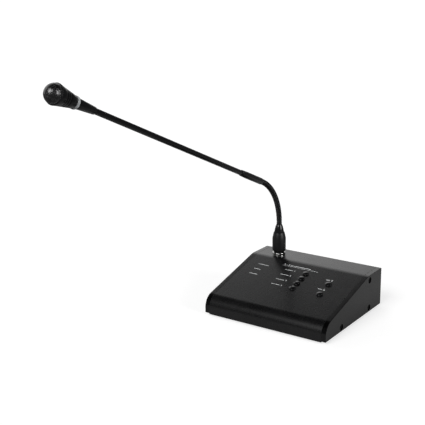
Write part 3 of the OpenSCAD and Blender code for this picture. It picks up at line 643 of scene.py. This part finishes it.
def makeGrille():
    g = grilleSet
    bm = bmesh.new()
    bmesh.ops.create_icosphere(bm, subdivisions=g["divisions"], radius=g["radius"] * mm)
    bmesh.ops.subdivide_edges(bm, edges=bm.edges[:], cuts=g["cuts"], use_grid_fill=True)
    for vert in bm.verts:
        vert.co = vert.co.normalized() * g["radius"] * mm
    everything = bm.verts[:] + bm.edges[:] + bm.faces[:]
    bmesh.ops.bisect_plane(bm, geom=everything, dist=onePoint, plane_co=(0, 0, 0), plane_no=(0, 0, 1),
                           clear_inner=True)
    pierced = [v for v in bm.verts if v.co.z > g["plainBelow"] * mm]
    made = bmesh.ops.bevel(bm, geom=pierced, offset=g["hole"] * mm, offset_type="OFFSET", affect="VERTICES",
                           segments=1, profile=0.5, material=-1, clamp_overlap=True)
    bmesh.ops.delete(bm, geom=made["faces"], context="FACES_ONLY")
    openEdges = [e for e in bm.edges if len(e.link_faces) == 1]
    lowEdges = [e for e in openEdges if max(v.co.z for v in e.verts) < g["foot"] * mm]
    skirt = bmesh.ops.extrude_edge_only(bm, edges=lowEdges)
    lowVerts = [v for v in skirt["geom"] if isinstance(v, bmesh.types.BMVert)]
    bmesh.ops.translate(bm, vec=(0, 0, -g["skirt"] * mm), verts=lowVerts)
    bmesh.ops.recalc_face_normals(bm, faces=bm.faces)
    bmesh.ops.solidify(bm, geom=bm.faces[:], thickness=g["wall"] * mm)
    inside = (g["radius"] - g["wall"] / 2) * mm
    sharpEdges = [e for e in bm.edges if e.calc_face_angle(0) > radians(g["lipAngle"])]
    lips = [e for e in sharpEdges if min(v.co.length for v in e.verts) > inside]
    bmesh.ops.bevel(bm, geom=lips, offset=g["rolled"] * mm, offset_type="OFFSET", affect="EDGES", segments=2,
                    profile=0.5, material=-1, clamp_overlap=True)
    place = micPlace @ Matrix.Translation((0, 0, g["centre"] * mm))
    fit(toObject(bm, "piercedGrille", dippedGrille, place, grilleShade), "mic", "grille_black", "grille")


makeGrille()
print("head made")

# gold contacts in the two link ports, hung from the ports' roofs and sloping down inwards
portSet = dict(x=(20, 42), wires=8, pitch=1.02, width=0.4, thick=0.3, length=8.0, inwards=7.5, roof=11.1,
               drop=0.8, slope=-6)


def makeContacts():
    p = portSet
    low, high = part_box("link_sockets")
    y = high.y - p["inwards"] * mm
    z = low.z + (p["roof"] - p["drop"]) * mm
    turn = Matrix.Rotation(radians(p["slope"]), 4, "X")
    bm = bmesh.new()
    for x in p["x"]:
        for i in range(p["wires"]):
            across = x + (i - (p["wires"] - 1) / 2) * p["pitch"]
            place = Matrix.Translation((across * mm, y, z)) @ turn
            addBlock(bm, p["width"], p["length"], p["thick"], place)
    fit(toObject(bm, "portContacts", flashedBrass), "base", "brass")


makeContacts()
print("contacts made")

# finishes of the nodes that keep their own shape
nodeFinish = {
    satinPowderCoat: ["bottom_plate", "rear_panel"],
    blackOxideSteel: ["end_screws"],
    mouldedRubber: ["feet", "capsule_holder", "mic_cable"],
    mouldedNylon: ["link_sockets", "socket_insert", "plug_insert", "switch_bodies", "board_parts",
                   "board_headers"],
    naturalNylon: [f"plunger_{i}" for i in range(1, 7)],
    smokedAcrylic: ["indicators"],
    solderMask: ["main_board", "control_board", "light_board"],
    flatCable: ["ribbon_cable"],
    drawnSteel: ["main_standoffs", "main_screws", "control_spacers", "control_screws"],
    capsuleFelt: ["capsule"],
    polishedNickel: ["socket_nut"],
    flashedBrass: ["socket_contacts", "plug_pins"],
}
for material, names in nodeFinish.items():
    for name in names:
        node = frame["nodes"][name]
        node.data.materials.clear()
        node.data.materials.append(material)
print("nodes finished")


def addMirrored(tree, rays, seen, share):  # shiny and clear surfaces see this share of white as well
    for kind in ("Is Glossy Ray", "Is Transmission Ray"):
        seen = addNode(tree, "Math", {1: share}, {0: rays.outputs[kind], 2: seen},
                       operation="MULTIPLY_ADD").outputs[0]
    return seen


# pale floor, white to the eye, that keeps the object's shadow; its colour falls off with distance as a
# painted pool of light round the object, distances in metres
floorSet = dict(size=30, pale="#b6b6b6", dull="#404040", near=0.24, far=0.46, glowNear=0.66, glowFar=0.97,
                mirrored=0.1)


def makeFloor():
    f = floorSet
    material, tree, shader, place = startMaterial("paleFloor", Roughness=0.9)
    reach = addNode(tree, "VectorMath", {}, {0: place}, operation="LENGTH").outputs["Value"]
    span = {"From Min": f["near"], "From Max": f["far"]}
    # painted pool of light: the floor's colour goes from pale near the object to dark grey beyond
    paintedPool = addNode(tree, "MapRange", span, {"Value": reach}, interpolation_type="SMOOTHSTEP")
    paintedPool = paintedPool.outputs["Result"]
    tree.links.new(tint(tree, paintedPool, f["pale"], f["dull"]), shader.inputs["Base Color"])
    # the glow seen by the eye rises as the painted pool fades, so that the floor stays white to the eye
    levels = {"To Min": f["glowNear"], "To Max": f["glowFar"]}
    glow = addNode(tree, "MapRange", levels, {"Value": paintedPool}).outputs["Result"]
    rays = addNode(tree, "LightPath")
    seen = addNode(tree, "Math", {}, {0: glow, 1: rays.outputs["Is Camera Ray"]}, operation="MULTIPLY")
    seen = addMirrored(tree, rays, seen.outputs[0], f["mirrored"])
    shader.inputs["Emission Color"].default_value = (1, 1, 1, 1)
    tree.links.new(seen, shader.inputs["Emission Strength"])
    bm = bmesh.new()
    bmesh.ops.create_grid(bm, x_segments=1, y_segments=1, size=f["size"] / 2)
    floor = toObject(bm, "floor", material)


makeFloor()
print("floor made")

# soft lamps: front and right are flagged off the housing, and the low broad one lights the cover alone
lampSet = {"front": dict(towards=(-0.10, -0.79, 0.60), strength=2.4, spread=38, onCover=False),
           "right": dict(towards=(0.95, -0.02, 0.30), strength=1.9, spread=28, onCover=False),
           "lip": dict(towards=(0.12, -0.80, 0.59), strength=2.2, spread=66, onCover=True)}


def makeLamps():
    cover = bpy.data.collections.new("cover")
    cover.objects.link(bpy.data.objects["foldedCover"])
    flag = bpy.data.collections.new("flag")
    for name in ("foldedCover", "endPlateLeft", "endPlateRight"):
        flag.objects.link(bpy.data.objects[name])
    for kept in flag.collection_objects:
        kept.light_linking.link_state = "EXCLUDE"
    for name, use in lampSet.items():
        data = bpy.data.lights.new(name, "SUN")
        data.energy = use["strength"]
        data.angle = radians(use["spread"])
        lamp = bpy.data.objects.new(name, data)
        lamp.rotation_euler = Vector(use["towards"]).to_track_quat("Z", "Y").to_euler()
        lamp.light_linking.receiver_collection = cover if use["onCover"] else flag
        scene.collection.objects.link(lamp)


makeLamps()
print("lamps made")

# surroundings: a pale backdrop behind the object to its left, dark overhead and towards the viewer, and white
# to the eye; wide and full are cosines from the backdrop's middle, low and high heights on the unit sphere
skySet = dict(centre=(-0.906, 0.423, 0), wide=0.52, full=0.9, low=0.54, high=0.78, pale=1.34, dim=0.10,
              overhead=0.005, mirrored=0.04)


def makeSky():
    s = skySet
    world = bpy.data.worlds.new("studio")
    scene.world = world
    world.use_nodes = True
    tree = world.node_tree
    place = addNode(tree, "TexCoord").outputs["Generated"]
    height = addNode(tree, "SeparateXYZ", {}, {0: place}).outputs["Z"]
    level = addNode(tree, "VectorMath", {1: (1, 1, 0)}, {0: place}, operation="MULTIPLY").outputs[0]
    compass = addNode(tree, "VectorMath", {}, {0: level}, operation="NORMALIZE").outputs[0]
    facing = addNode(tree, "VectorMath", {1: s["centre"]}, {0: compass}, operation="DOT_PRODUCT")
    spread = {"From Min": s["wide"], "From Max": s["full"], "To Min": s["dim"], "To Max": s["pale"]}
    across = addNode(tree, "MapRange", spread, {"Value": facing.outputs["Value"]},
                     interpolation_type="SMOOTHSTEP")
    fade = {"From Min": s["low"], "From Max": s["high"], "To Max": s["overhead"]}
    shade = addNode(tree, "MapRange", fade, {"Value": height, "To Min": across.outputs["Result"]},
                    interpolation_type="SMOOTHSTEP")
    rays = addNode(tree, "LightPath")
    ends = {"Value": rays.outputs["Is Camera Ray"], "To Min": shade.outputs["Result"]}
    seen = addNode(tree, "MapRange", {"To Max": 1}, ends).outputs["Result"]
    seen = addMirrored(tree, rays, seen, s["mirrored"])
    tree.links.new(seen, tree.nodes["Background"].inputs["Strength"])
    tree.nodes["Background"].inputs["Color"].default_value = (1, 1, 1, 1)


makeSky()
print("studio made")
